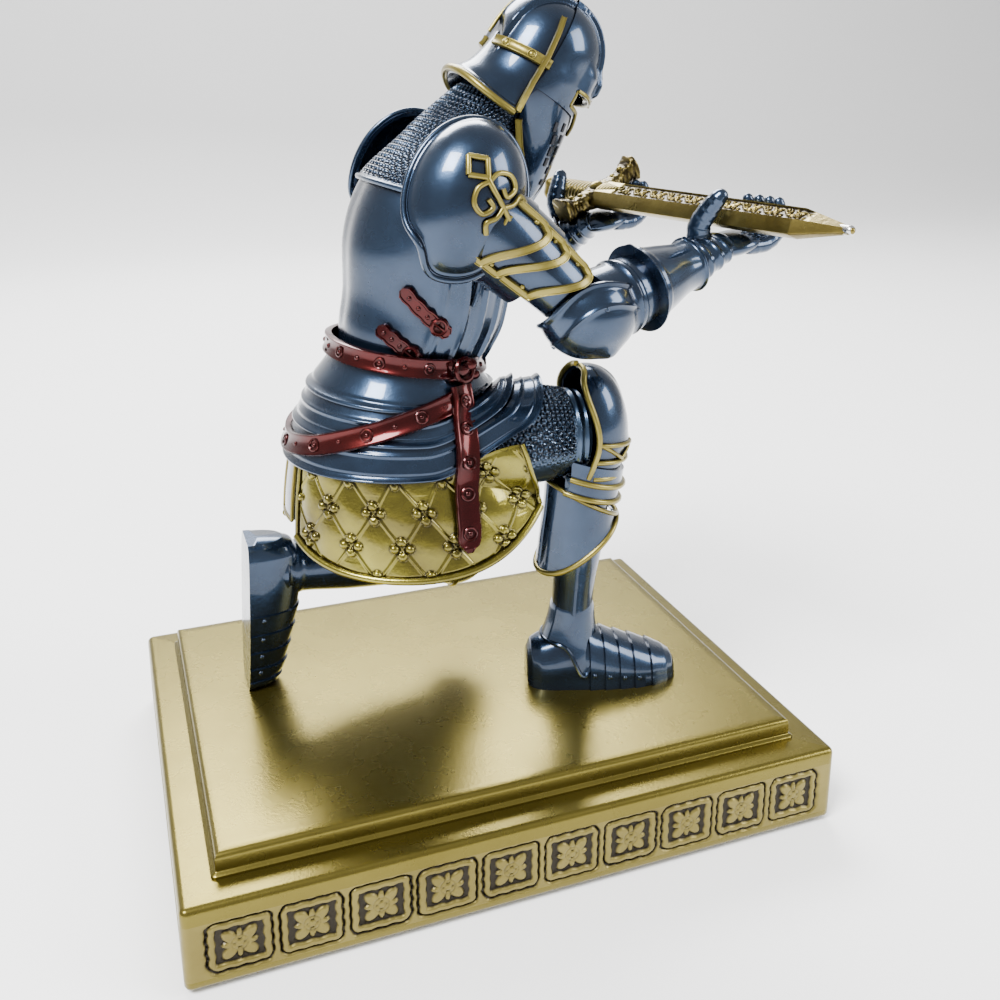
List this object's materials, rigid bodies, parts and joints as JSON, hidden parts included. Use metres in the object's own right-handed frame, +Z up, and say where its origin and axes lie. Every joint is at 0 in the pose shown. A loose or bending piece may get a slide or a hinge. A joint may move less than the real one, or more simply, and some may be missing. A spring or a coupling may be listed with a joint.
{
  "type": "knight statuette pen holder",
  "caption": "Kneeling armoured knight statuette on a stepped plinth, offering a removable sword-shaped ball pen across its open hands.",
  "frame": {"origin": "centre of the felt underside of the plinth, on the desk surface", "axes": "+Z up, +X the way the knight faces, +Y the knight's left"},
  "size_m": [0.155, 0.1156, 0.197],
  "materials": {
    "blue_lacquer": "pearl steel-blue metallic lacquer over cast resin",
    "mail_lacquer": "steel-blue metallic lacquer over moulded ring mail",
    "quilted_gilt": "bright olive-gold paint with dark wash in the hollows",
    "gilt_trim": "olive-gold paint",
    "maroon_strap": "glossy maroon enamel",
    "plinth_gold": "satin antique-gold paint",
    "frieze_gold": "antique gold with black-brown wash in the relief",
    "antique_brass": "antique brass plating with dark wash",
    "refill_metal": "plain refill tube",
    "screw_steel": "plain screws",
    "felt": "black felt sheet"
  },
  "bodies": {
    "figure": {"backplate": "blue_lacquer", "belt_tail": "maroon_strap", "breastplate": "blue_lacquer", "fauld_lame_lower": "blue_lacquer", "fauld_lame_middle": "blue_lacquer", "fauld_lame_upper": "blue_lacquer", "felt_underside": "felt", "frieze_tiles": "frieze_gold", "helmet_bands": "gilt_trim", "helmet_bevor": "blue_lacquer", "helmet_skull": "blue_lacquer", "helmet_visor": "blue_lacquer", "hip_belt": "maroon_strap", "left_arm_lame_1": "blue_lacquer", "left_arm_lame_2": "blue_lacquer", "left_arm_lame_3": "blue_lacquer", "left_couter": "blue_lacquer", "left_cuisse": "mail_lacquer", "left_forearm": "blue_lacquer", "left_gauntlet": "blue_lacquer", "left_gauntlet_cuff": "blue_lacquer", "left_greave": "blue_lacquer", "left_pauldron": "blue_lacquer", "left_poleyn": "blue_lacquer", "left_sabaton": "blue_lacquer", "left_tasset": "quilted_gilt", "left_upper_arm": "blue_lacquer", "mail_collar": "mail_lacquer", "mounting_screws": "screw_steel", "plinth_slab": "plinth_gold", "plinth_step": "plinth_gold", "rear_tasset": "blue_lacquer", "right_arm_lame_1": "blue_lacquer", "right_arm_lame_2": "blue_lacquer", "right_arm_lame_3": "blue_lacquer", "right_couter": "blue_lacquer", "right_cuisse": "mail_lacquer", "right_forearm": "blue_lacquer", "right_gauntlet": "blue_lacquer", "right_gauntlet_cuff": "blue_lacquer", "right_greave": "blue_lacquer", "right_greave_flare": "blue_lacquer", "right_pauldron": "blue_lacquer", "right_poleyn": "blue_lacquer", "right_sabaton": "blue_lacquer", "right_tasset": "quilted_gilt", "right_upper_arm": "blue_lacquer", "side_straps": "maroon_strap", "torso_core": "blue_lacquer", "waist_belt": "maroon_strap"},
    "sword_pen": {"sword_blade": "antique_brass", "sword_guard": "antique_brass", "sword_grip": "antique_brass"},
    "pommel": {"pommel_plug": "antique_brass", "ink_refill": "refill_metal"}
  },
  "joints": [
    {"name": "sword_lift", "type": "slide", "parent": "figure", "child": "sword_pen", "axis": [0, 0, 1], "range_m": [0, 0.06]},
    {"name": "pommel_pull", "type": "slide", "parent": "sword_pen", "child": "pommel", "axis": [-0.2198, 0.9755, 0], "range_m": [0, 0.105]}
  ]
}
